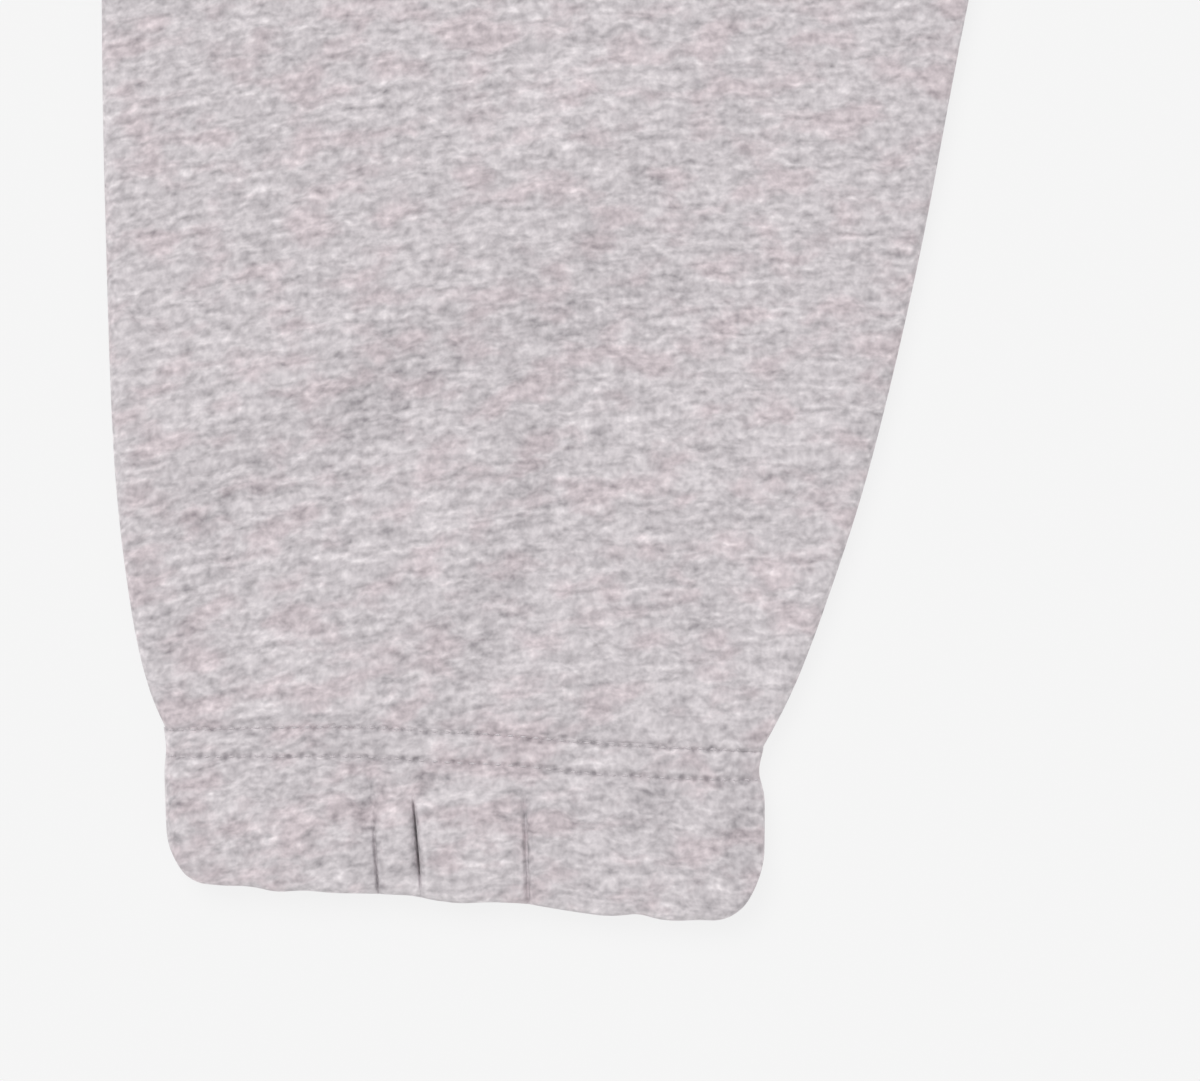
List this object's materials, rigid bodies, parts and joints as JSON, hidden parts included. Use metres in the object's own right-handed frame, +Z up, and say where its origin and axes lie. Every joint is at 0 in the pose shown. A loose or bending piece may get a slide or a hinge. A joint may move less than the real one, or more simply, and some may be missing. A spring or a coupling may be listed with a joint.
{
  "type": "jogger sweatpants laid flat",
  "caption": "Heathered fleece jogger sweatpants laid flat, front up, with an elastic waistband and gathered elastic hems.",
  "frame": {"origin": "centre of the garment's outline, on the surface it lies on", "axes": "+X across the garment towards the wearer's left leg, +Y from the hems up to the waistband, +Z up from the surface"},
  "size_m": [0.6104, 0.9997, 0.0104],
  "materials": {
    "fleece": "matte light grey heathered fleece with pinkish flecks",
    "thread": "matte light grey sewing thread"
  },
  "bodies": {
    "root": {"front_right": "fleece", "front_left": "fleece", "back_right": "fleece", "back_left": "fleece", "hem_band_right": "fleece", "hem_band_left": "fleece", "waistband": "fleece"}
  },
  "joints": []
}
